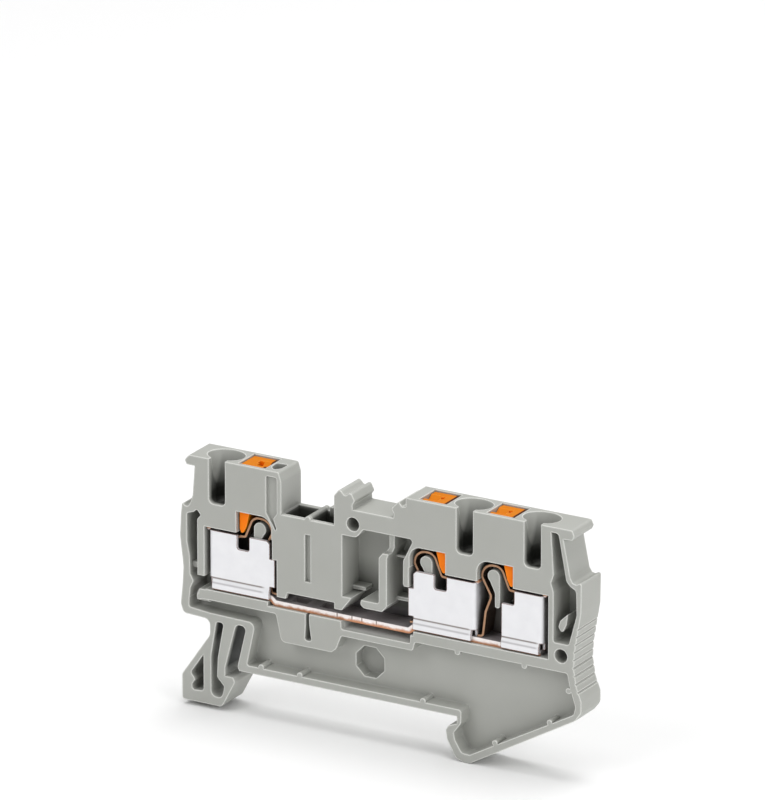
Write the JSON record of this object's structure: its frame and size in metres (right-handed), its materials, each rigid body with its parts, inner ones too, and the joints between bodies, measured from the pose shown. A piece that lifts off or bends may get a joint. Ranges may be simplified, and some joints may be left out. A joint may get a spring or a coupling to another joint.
{
  "type": "feed-through terminal block",
  "caption": "Thin rail-mounted feed-through terminal block with push-in wire entries, push buttons, leaf springs, clamp cages and one current bar in an open-sided housing.",
  "frame": {"origin": "on the rail seat, above the middle of the 35 mm rail, in the plane of the housing's open side", "axes": "+X along the block towards the end with two wire entries, +Y from the open side to the closed side, +Z away from the rail"},
  "size_m": [0.0606, 0.0052, 0.0353],
  "materials": {
    "housing_plastic": "moulded polyamide, light grey",
    "button_plastic": "moulded plastic, orange",
    "cage_steel": "tin-plated sheet, satin",
    "spring_metal": "bronze-toned spring strip",
    "tinned_copper": "tinned copper with bare cut edges"
  },
  "bodies": {
    "block": {"housing": "housing_plastic", "current_bar": "tinned_copper", "clamp_cage_left": "cage_steel", "clamp_cage_middle": "cage_steel", "clamp_cage_right": "cage_steel", "leaf_spring_left": "spring_metal", "leaf_spring_middle": "spring_metal", "leaf_spring_right": "spring_metal"},
    "button_left": {"push_button_left": "button_plastic"},
    "button_middle": {"push_button_middle": "button_plastic"},
    "button_right": {"push_button_right": "button_plastic"}
  },
  "joints": [
    {"name": "press_left", "type": "slide", "parent": "block", "child": "button_left", "axis": [0, 0, -1], "range_m": [0, 0.0015], "stiffness_N_per_m": 2000, "springref_m": -0.0005, "deforming": ["leaf_spring_left"]},
    {"name": "press_middle", "type": "slide", "parent": "block", "child": "button_middle", "axis": [0, 0, -1], "range_m": [0, 0.0015], "stiffness_N_per_m": 2000, "springref_m": -0.0005, "deforming": ["leaf_spring_middle"]},
    {"name": "press_right", "type": "slide", "parent": "block", "child": "button_right", "axis": [0, 0, -1], "range_m": [0, 0.0015], "stiffness_N_per_m": 2000, "springref_m": -0.0005, "deforming": ["leaf_spring_right"]}
  ]
}
